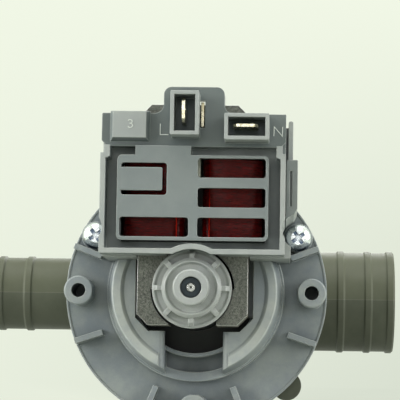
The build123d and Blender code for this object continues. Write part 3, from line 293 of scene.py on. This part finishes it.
# looks: a Scale is per mm, a Radius, Reach or relief is in mm, and a Span is where a mask starts and ends
plainPlastic = {         # what the moulded plastics share
    "cloud": 0.8, "cloudScale": 0.09, "cloudSpan": (0.36, 0.64), "flow": (1.0, 0.35, 1.0), "flowScale": 0.35,
    "grain": 0.2, "grainScale": 5.0, "grainSpan": (0.35, 0.75),
    "fleck": 0.08, "fleckScale": 2.4, "fleckSpan": (0.66, 0.74), "edge": 0.5, "edgeRadius": 0.28,
    "hollow": 0.4, "hollowReach": 4.0, "hollowSpan": (0.2, 1.0), "hollowSamples": 8,
    "rough": 0.42, "cloudRough": 0.16, "grainRough": 0.12, "edgeShine": 0.08, "gloss": 0.45,
    "bump": 0.15, "relief": 0.06}
plasticLooks = {
    "cover_plastic": {
        "colour": srgb("#9fa49e"), "shade": srgb("#949a96"), "highlightAndFleckColour": srgb("#c3c9c1"),
        "hollowColour": srgb("#55626a"), "hollow": 0.45, "hollowReach": 7.0,
        # painted shade on the recessed panel and the plate behind it, the deepest darkest
        "inset": (-22.4, -22.05, -17.5), "insetVeil": srgb("#c4cacd"),
        "deep": (-21.2, -20.2), "deepRecessShade": srgb("#9fa7a8"),
        "edge": 0.75, "fleck": 0.1, "rough": 0.46, "bump": 0.16},
    "bracket_plastic": {
        "colour": srgb("#b8beb5"), "shade": srgb("#a0a8a8"), "highlightAndFleckColour": srgb("#c6ccc3"),
        # painted light and shade: the arms' proud ridges keep the lit colour, and faces further back are
        # darkened
        "inset": (-2.5, -2.2, 300.0), "insetVeil": srgb("#d4d6d9"),
        "deep": (2.0, 9.0), "deepRecessShade": srgb("#cfd2d6"),
        "hollowColour": srgb("#465158"), "hollow": 0.5, "hollowReach": 12.0, "hollowSpan": (0.1, 0.8),
        "cloud": 1.0, "fleck": 0.1, "edge": 0.8, "edgeRadius": 0.3, "bump": 0.2, "gloss": 0.5},
    "fan_plastic": {
        "colour": srgb("#a2a7a1"), "shade": srgb("#999e9b"), "highlightAndFleckColour": srgb("#cdd1ca"),
        "hollowColour": srgb("#3c4448"), "hollow": 0.2, "hollowReach": 3.0, "hollowSpan": (0.6, 1.0),
        "cloud": 0.7, "fleck": 0.04, "grain": 0.1, "edge": 0.45, "edgeRadius": 0.4, "rough": 0.28,
        "bump": 0.08, "gloss": 0.6, "glow": 0.3, "glowReach": 0.8, "glowTint": (1.0, 1.0, 0.9)},
    "chamber_plastic": {
        "colour": srgb("#565a4b"), "shade": srgb("#4c5042"), "highlightAndFleckColour": srgb("#85887a"),
        "hollowColour": srgb("#20241e"), "hollowReach": 5.0, "edge": 0.45, "edgeRadius": 0.35,
        "rough": 0.5, "bump": 0.14, "gloss": 0.3, "upper": srgb("#646851"), "upperTint": 0.4,
        "seam": -0.1, "seamBlend": 0.06, "seamWidth": (0.03, 0.14), "seamHighlight": 0.35},
    "black_plastic": {
        "colour": srgb("#101316"), "shade": srgb("#0a0d0f"), "highlightAndFleckColour": srgb("#353d41"),
        "hollowColour": srgb("#040506"), "hollow": 0.5, "hollowReach": 5.0, "fleck": 0.1, "grain": 0.3,
        "bump": 0.2, "gloss": 0.4},
    "impeller_plastic": {
        "colour": srgb("#9a9f9b"), "shade": srgb("#878d8a"), "highlightAndFleckColour": srgb("#c5cac2"),
        "hollowColour": srgb("#3a4242"), "fleck": 0.1, "edge": 0.6},
    "bobbin_plastic": {
        "colour": srgb("#171917"), "shade": srgb("#0f1110"), "highlightAndFleckColour": srgb("#3a3f3c"),
        "hollowColour": srgb("#050606"), "hollow": 0.5, "hollowReach": 3.0, "rough": 0.5, "bump": 0.2},
    "washer_plastic": {
        "colour": srgb("#d3cfba"), "shade": srgb("#c3bea8"), "highlightAndFleckColour": srgb("#e9e6d8"),
        "hollowColour": srgb("#6d6a58"), "hollowReach": 2.0, "grain": 0.1, "edgeRadius": 0.15, "bump": 0.1},
    "cutout_film": {
        "colour": srgb("#aeb39b"), "shade": srgb("#979c84"), "highlightAndFleckColour": srgb("#d5d9c6"),
        "hollowColour": srgb("#4a4d3c"), "hollowReach": 2.0, "cloud": 1.0, "fleck": 0.2,
        "flow": (2.0, 0.4, 1.0), "edgeRadius": 0.2, "rough": 0.3, "bump": 0.25, "gloss": 0.6},
    "lead_cover": {
        "colour": srgb("#c9c9bd"), "shade": srgb("#b7b7a9"), "highlightAndFleckColour": srgb("#e5e5dc"),
        "hollowColour": srgb("#5c5c50"), "hollowReach": 2.0, "edge": 0.3, "edgeRadius": 0.15, "bump": 0.12},
    "cover_marks_painted_light": {     # the raised letters and the number, painted lighter than the cover as a painted highlight on their raised strokes
        "colour": srgb("#dce1d8"), "shade": srgb("#d0d6cd"), "highlightAndFleckColour": srgb("#eef1ea"),
        "hollowColour": srgb("#7d8683"), "hollow": 0.2, "hollowReach": 1.0, "edgeRadius": 0.06},
}
plainMetal = {           # what the bright and dark metals share
    "cloud": 0.7, "cloudScale": 0.5, "cloudSpan": (0.35, 0.65), "brush": (1.0, 1.0, 1.0), "brushScale": 3.0,
    "stainScale": 1.1, "stainSpan": (0.5, 0.72), "edge": 0.5, "edgeRadius": 0.12,
    "hollow": 0.9, "hollowReach": 1.2, "hollowSpan": (0.12, 0.55), "hollowSamples": 6,
    "metal": 1.0, "brushRough": 0.3, "stainRough": 0.12, "relief": 0.04}
metalLooks = {
    "blued_steel": {
        "colour": srgb("#3b4348"), "tint": srgb("#2f363b"), "stainColour": srgb("#4b4a47"),
        "bright": srgb("#8b9498"), "hollowColour": srgb("#14181b"),
        "stain": 0.3, "rough": 0.42, "metal": 0.7, "bump": 0.25, "edgeRadius": 0.08},
    "zinc_steel": {
        "colour": srgb("#f0f4f5"), "tint": srgb("#dfe6ea"), "stainColour": srgb("#c0cbd3"),
        "bright": srgb("#ffffff"), "hollowColour": srgb("#24415f"),
        "stain": 0.2, "rough": 0.2, "bump": 0.12},
    "tinned_brass": {
        "colour": srgb("#d9d4bd"), "tint": srgb("#c2b993"), "stainColour": srgb("#8d8358"),
        "bright": srgb("#fbf8ea"), "hollowColour": srgb("#3c3825"),
        "stain": 0.45, "rough": 0.26, "bump": 0.2, "brush": (0.3, 3.0, 0.3)},
    "bright_steel": {
        "colour": srgb("#c9cac6"), "tint": srgb("#a8aaa8"), "stainColour": srgb("#85806f"),
        "bright": srgb("#f6f5ee"), "hollowColour": srgb("#2a2b2b"),
        "stain": 0.25, "rough": 0.24, "bump": 0.15, "brush": (2.0, 0.4, 2.0)},
    "bronze": {
        "colour": srgb("#a5773f"), "tint": srgb("#8a6034"), "stainColour": srgb("#5b4127"),
        "bright": srgb("#d9b277"), "hollowColour": srgb("#2b1d10"),
        "stain": 0.5, "rough": 0.42, "bump": 0.35, "brush": (1.5, 1.5, 1.5)},
    "ferrite": {
        "colour": srgb("#3a3b3e"), "tint": srgb("#2d2e31"), "stainColour": srgb("#4f4c49"),
        "bright": srgb("#75767a"), "hollowColour": srgb("#101113"),
        "stain": 0.3, "rough": 0.5, "metal": 0.3, "bump": 0.3, "brush": (2.0, 0.4, 2.0), "edgeRadius": 0.2},
}
coreLook = {             # "sheet" is the thickness of one lamination, and a gap is the dark line between two
    "dark": srgb("#3c3f3a"), "light": srgb("#8a8c83"), "oxide": srgb("#52554e"), "oxideShare": 0.4,
    "cut": srgb("#8e8d84"), "rust": srgb("#8a7c66"), "rustShare": 0.35, "bright": srgb("#ffffff"),
    "edge": 0.95, "edgeRadius": 0.14, "facingSpan": (0.6, 0.8),
    "grainScale": 1.7, "grainSpan": (0.36, 0.66), "pepperScale": 4.0, "cloudScale": 0.16,
    "sheet": 0.5, "waver": 0.6, "waverScale": 0.8, "gapShare": 0.8, "gapSpan": (0.55, 0.95), "gapDepth": 1.2,
    "metal": 0.55, "edgeMetal": 0.35, "cutMetal": 0.2, "rough": 0.5, "grainRough": 0.35, "edgeShine": 0.15,
    "bump": 0.55, "relief": 0.08}
wireLook = {             # the glint line is how far from the middle the glint painted on the coils' inner corners lies, in mm
    "dark": srgb("#330201"), "light": srgb("#760503"), "varnish": srgb("#430202"),
    "streak": (0.25, 0.25, 4.0), "streakScale": 1.6, "streakSpan": (0.35, 0.68),
    "cloud": 0.4, "cloudScale": 0.25, "cloudSpan": (0.45, 0.7),
    "paintedGlintLine": 4.2, "paintedGlintWidth": (0.02, 0.17), "paintedGlintFade": (21.0, 24.0), "paintedGlintColour": srgb("#ff4a30"),
    "waver": 0.5, "metal": 0.3, "rough": 0.24, "streakRough": 0.2, "gloss": 0.1,
    "coat": 0.55, "coatRough": 0.06, "glint": srgb("#ff7a5c"), "bump": 0.3, "relief": 0.05}
rubberLook = {
    "colour": srgb("#17191b"), "bloom": srgb("#3a3d3e"), "bloomScale": 0.7, "bloomSpan": (0.45, 0.75),
    "grainScale": 7.0, "edge": 0.4, "edgeRadius": 0.2, "rough": 0.6, "grainRough": 0.2,
    "bump": 0.3, "relief": 0.04}

finishes = {slot: mouldedPlastic(slot, {**plainPlastic, **look}) for slot, look in plasticLooks.items()}
finishes.update({slot: platedMetal(slot, {**plainMetal, **look}) for slot, look in metalLooks.items()})
finishes["core_steel"] = stampedSteel("core_steel", coreLook)
finishes["enamelled_wire"] = enamelledWire("enamelled_wire", wireLook)
finishes["seal_rubber"] = softRubber("seal_rubber", rubberLook)
slotOf = {part["node"]: part["material_slot"] for part in frame["record"]["subparts"]}
for node, shown in frame["nodes"].items():
    shown.data.materials.clear()
    shown.data.materials.append(finishes[slotOf[node]])
print("finishes:", len(finishes))


def makePiece(name, mesh, slot, finish=None, smooth=False):
    bmesh.ops.recalc_face_normals(mesh, faces=mesh.faces)
    data = bpy.data.meshes.new(name)
    mesh.to_mesh(data)
    mesh.free()
    for face in data.polygons:
        face.use_smooth = smooth
    data.materials.append(finishes[finish or slot])
    made = bpy.data.objects.new(name, data)
    bpy.context.scene.collection.objects.link(made)
    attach(made, body)
    return made


leastMitre = 0.4         # keeps the corner of a sharp turn from running far out


def sweep(mesh, path, section, facing):      # a closed section along a path, mitred where the path turns
    rings = []
    for i, here in enumerate(path):
        before = (here - path[i - 1]).normalized() if i else (path[1] - here).normalized()
        after = (path[i + 1] - here).normalized() if i + 1 < len(path) else before
        along = (before + after).normalized()
        side = along.cross(facing).normalized()
        stretch = 1 / max(along.dot(after), leastMitre)
        rings.append([mesh.verts.new(here + side * (a * stretch) + facing * b) for a, b in section])
    for one, two in zip(rings, rings[1:]):
        for j in range(len(section)):
            k = (j + 1) % len(section)
            mesh.faces.new((one[j], one[k], two[k], two[j]))
    mesh.faces.new(rings[0])
    mesh.faces.new(rings[-1])


def roundSection(radius, sides):
    angles = [2 * math.pi * j / sides for j in range(sides)]
    return [(radius * math.cos(a), radius * math.sin(a)) for a in angles]


# coils: the outer layer is one fine wire round a block of the inner layers
coilWire = {             # the block's face lies "blockInset" times as deep as the middle of the wire
    "turns": 78, "cornerRadius": 3.0, "sides": 6, "cornerSteps": 6, "sideSteps": 5, "waver": 0.06, "seed": 4,
    "blockInset": 1.7, "blockSteps": 5}


def loopPoints(halfX, halfY, radius, cornerSteps, sideSteps):       # once round a rounded rectangle
    points = []
    corners = [(1, -1, -90), (1, 1, 0), (-1, 1, 90), (-1, -1, 180)]
    for signX, signY, first in corners:
        centre = Vector((signX * (halfX - radius), signY * (halfY - radius)))
        for step in range(cornerSteps + 1):
            angle = math.radians(first + 90 * step / cornerSteps)
            points.append(centre + Vector((math.cos(angle), math.sin(angle))) * radius)
    whole = []
    for i, point in enumerate(points):
        whole.append(point)
        if i % (cornerSteps + 1) == cornerSteps:
            after = points[(i + 1) % len(points)]
            whole.extend(point.lerp(after, (k + 1) / (sideSteps + 1)) for k in range(sideSteps))
    return whole


def makeCoil(side):
    low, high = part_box(side + "_winding_turns")
    low, high = low / mm, high / mm
    coreLow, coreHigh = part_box(side + "_winding_core")
    bottom, top = coreLow.z / mm, coreHigh.z / mm
    centre = (low + high) / 2
    half = (high - low) / 2
    pitch = (top - bottom) / (coilWire["turns"] + 1)
    wireRadius = pitch / 2
    chance = random.Random(coilWire["seed"])
    inset = wireRadius + coilWire["waver"]
    loop = loopPoints(half.x - inset, half.y - inset, coilWire["cornerRadius"] - inset,
                      coilWire["cornerSteps"], coilWire["sideSteps"])
    path = []
    lean = 0.0
    for turn in range(coilWire["turns"]):
        nextLean = chance.uniform(-1, 1) * coilWire["waver"]
        for k, point in enumerate(loop):
            share = k / len(loop)
            out = 1 + (lean * (1 - share) + nextLean * share) / half.x
            rise = bottom + wireRadius + (turn + share) * pitch
            path.append(Vector((centre.x + point.x * out, centre.y + point.y * out, rise)) * mm)
        lean = nextLean
    mesh = bmesh.new()
    sweep(mesh, path, roundSection(wireRadius * mm, coilWire["sides"]), Vector((0, 0, 1)))
    deep = coilWire["blockInset"] * inset
    block = loopPoints(half.x - deep, half.y - deep, coilWire["cornerRadius"] - deep,
                       coilWire["blockSteps"], 0)
    rings = [[mesh.verts.new(Vector((centre.x + p.x, centre.y + p.y, z)) * mm) for p in block]
             for z in (bottom, top)]
    for j in range(len(block)):
        k = (j + 1) % len(block)
        mesh.faces.new((rings[0][j], rings[0][k], rings[1][k], rings[1][j]))
    mesh.faces.new(rings[0])
    mesh.faces.new(rings[1])
    coil = makePiece(side + "_coil", mesh, "enamelled_wire", smooth=True)
    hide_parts(side + "_winding_turns", side + "_winding_core")


coilSides = ("left", "right")
for side in coilSides:
    makeCoil(side)
print("coils:", len(coilSides), "turns each:", coilWire["turns"])

# raised marks on the front cover: line and neutral beside the blades, and the mould's cavity number
markShape = {"sunk": 0.1, "taper": 0.55}     # how deep a stroke's foot is, and its top's share of its width
markLooks = {
    "line_mark": {"y": -20.0, "width": 0.26, "rise": 0.16, "low": (-8.6, 39.15), "size": (2.1, 2.8),
                  "strokes": [[(0, 1), (0, 0), (1, 0)]]},
    "neutral_mark": {"y": -20.0, "width": 0.26, "rise": 0.16, "low": (20.45, 39.05), "size": (2.25, 2.4),
                     "strokes": [[(0, 0), (0.04, 1), (0.96, 0), (1, 1)]]},
    "cavity_number": {"y": -22.5, "width": 0.3, "rise": 0.16, "low": (-16.7, 40.6), "size": (1.15, 2.0),
                      "strokes": [[(0.0, 0.86), (0.2, 0.98), (0.5, 1.0), (0.82, 0.93), (0.93, 0.77),
                                   (0.82, 0.6), (0.48, 0.54), (0.84, 0.47), (1.0, 0.28), (0.86, 0.08),
                                   (0.5, 0.0), (0.16, 0.03), (0.0, 0.16)]]},
}
for name, mark in markLooks.items():
    mesh = bmesh.new()
    half = mark["width"] / 2 * mm
    narrow = half * markShape["taper"]
    rise, sunk = -mark["rise"] * mm, markShape["sunk"] * mm
    section = [(-half, sunk), (half, sunk), (narrow, rise), (-narrow, rise)]
    for stroke in mark["strokes"]:
        path = []
        for u, v in stroke:
            spot = (mark["low"][0] + u * mark["size"][0], mark["y"], mark["low"][1] + v * mark["size"][1])
            path.append(Vector(spot) * mm)
        sweep(mesh, path, section, Vector((0, 1, 0)))
    makePiece(name, mesh, "cover_plastic", "cover_marks_painted_light")
print("marks:", len(markLooks))


# studio: a pale room whose camera side is dim, so that proud edges shine and hollows stay dark
backdrop = {             # light at the view's top and dimmer down it, most of all at the right
    "light": srgb("#f1f7e6"), "dim": srgb("#d8dfd0"), "floor": srgb("#dde3d5"), "bounce": srgb("#9fa39c"),
    "left": -0.142, "across": 0.201, "top": 0.192, "down": 0.2015, "least": 0.42}
floorShape = {           # rings in metres; the shadow fades out between these distances in mm
    "gap": 0.05, "rings": (0.15, 0.6, 1.8, 6.0), "sides": 64, "fade": (110, 420), "cloudScale": 0.05}
floorLevel = cadBox[0].z - floorShape["gap"] * mm


def paleShade(start, way):               # the backdrop's colour for a direction from the pump
    across = ((way.part("X") - backdrop["left"]) / backdrop["across"]).limit()
    across = across * (1 - backdrop["least"]) + backdrop["least"]
    down = ((backdrop["top"] - way.part("Z")) / backdrop["down"]).limit()
    return (across * down).mix(backdrop["light"], backdrop["dim"])


def seenPlain(start):                    # 1 for what the camera, a mirror or clear glass sees
    camera, glossy, clear = (start.node("LightPath", None, None, "Is " + ray + " Ray")
                             for ray in ("Camera", "Glossy", "Transmission"))
    return (camera + glossy + clear).limit()


def makeFloor():
    mesh = bmesh.new()
    rings = []
    sides = floorShape["sides"]
    for radius in floorShape["rings"]:
        rings.append([mesh.verts.new((x, y, floorLevel)) for x, y in roundSection(radius, sides)])
    mesh.faces.new(rings[0])
    for one, two in zip(rings, rings[1:]):
        for j in range(sides):
            k = (j + 1) % sides
            mesh.faces.new((one[j], two[j], two[k], one[k]))
    data = bpy.data.meshes.new("floor")
    mesh.to_mesh(data)
    mesh.free()
    floor = bpy.data.objects.new("floor", data)
    bpy.context.scene.collection.objects.link(floor)
    material, start, place = newMaterial("pale_floor")
    way = start.node("VectorMath", {"operation": "NORMALIZE"}, {0: place})
    reach = start.node("VectorMath", {"operation": "LENGTH"}, {0: place}, "Value")
    seen = seenPlain(start)
    cloud = place.noise(floorShape["cloudScale"], 3.0)
    colour = (cloud * 0.15).mix(backdrop["floor"], backdrop["dim"])
    colour = seen.mix(backdrop["bounce"], colour)    # little light comes back up from it
    matt = start.node("BsdfDiffuse", None, {"Color": colour})
    plain = start.node("Emission", None, {"Color": paleShade(start, way), "Strength": 1.0})
    share = seen * reach.step(*floorShape["fade"])
    finishMaterial(start, start.node("MixShader", None, {0: share, 1: matt, 2: plain}))
    data.materials.append(material)


studio = {
    "air": (1.0, 1.0, 0.98, 1.0), "level": 0.45, "dimFrom": (0.25, 0.8), "dimLight": 0.9, "dimGloss": 0.8}


def makeWorld():
    world = bpy.data.worlds.new("studio")
    bpy.context.scene.world = world
    world.use_nodes = True
    world.node_tree.nodes.clear()
    start = Signal(world.node_tree)
    way = start.node("TexCoord", None, None, "Generated")
    front = (0 - way.part("Y")).step(*studio["dimFrom"])         # the camera's side of the room is dim
    camera = start.node("LightPath", None, None, "Is Camera Ray")
    around = start.node("Background", None, {
        "Color": studio["air"], "Strength": (1 - front * studio["dimLight"]) * studio["level"]})
    plain = start.node("Background", None, {
        "Color": paleShade(start, way), "Strength": 1 - front * (1 - camera) * studio["dimGloss"]})
    room = start.node("MixShader", None, {0: seenPlain(start), 1: around, 2: plain})
    start.node("OutputWorld", None, {"Surface": room})


def softLamp(name, lamp):                # its level stays the same however far it stands
    data = bpy.data.lights.new(name, "AREA")
    data.shape = "RECTANGLE"
    data.size, data.size_y = lamp["size"]
    data.energy = lamp["level"] * math.pi ** 2 * lamp["far"] ** 2
    made = bpy.data.objects.new(name, data)
    bpy.context.scene.collection.objects.link(made)
    turn, rise = math.radians(lamp["azimuth"]), math.radians(lamp["elevation"])
    way = Vector((math.sin(turn) * math.cos(rise), -math.cos(turn) * math.cos(rise), math.sin(rise)))
    made.location = way * lamp["far"]
    made.rotation_euler = way.to_track_quat("Z", "Y").to_euler()


lamps = {
    "left_strip": {"azimuth": -48, "elevation": 2, "far": 1.2, "size": (0.025, 0.5), "level": 0.14},
    "right_strip": {"azimuth": 48, "elevation": 2, "far": 1.2, "size": (0.025, 0.5), "level": 0.14},
    "front_softbox": {"azimuth": 0, "elevation": 14, "far": 1.4, "size": (0.5, 0.4), "level": 0.1},
    "left_softbox": {"azimuth": -68, "elevation": 20, "far": 1.2, "size": (0.9, 0.9), "level": 0.98},
    "right_softbox": {"azimuth": 68, "elevation": 20, "far": 1.2, "size": (0.9, 0.9), "level": 0.66},
    "top_softbox": {"azimuth": 0, "elevation": 76, "far": 1.2, "size": (0.9, 0.9), "level": 0.55},
    "back_softbox": {"azimuth": 170, "elevation": 35, "far": 1.4, "size": (0.8, 0.6), "level": 0.35},
}
makeFloor()
makeWorld()
for name, lamp in lamps.items():
    softLamp(name, lamp)
print("studio: lamps", len(lamps))

# camera: from in front and slightly below, as the photograph was taken
cameraView = {
    "eye": (22.821, -523.366, -23.776), "lens": 178.57, "film": 36.0, "clip": (0.01, 20.0),
    "right": (0.99907, 0.04017, 0.01566),
    "up": (-0.01191, -0.09196, 0.99569), "forward": (-0.04143, 0.99495, 0.09140)}
cameraData = bpy.data.cameras.new("camera")
cameraData.lens = cameraView["lens"]
cameraData.sensor_width = cameraView["film"]
cameraData.clip_start, cameraData.clip_end = cameraView["clip"]
camera = bpy.data.objects.new("camera", cameraData)
bpy.context.scene.collection.objects.link(camera)
axes = Matrix((cameraView["right"], cameraView["up"], [-v for v in cameraView["forward"]])).transposed()
camera.matrix_world = Matrix.Translation(Vector(cameraView["eye"]) * mm) @ axes.to_4x4()
bpy.context.scene.camera = camera
bpy.context.scene.view_settings.view_transform = "Standard"
print("camera set")
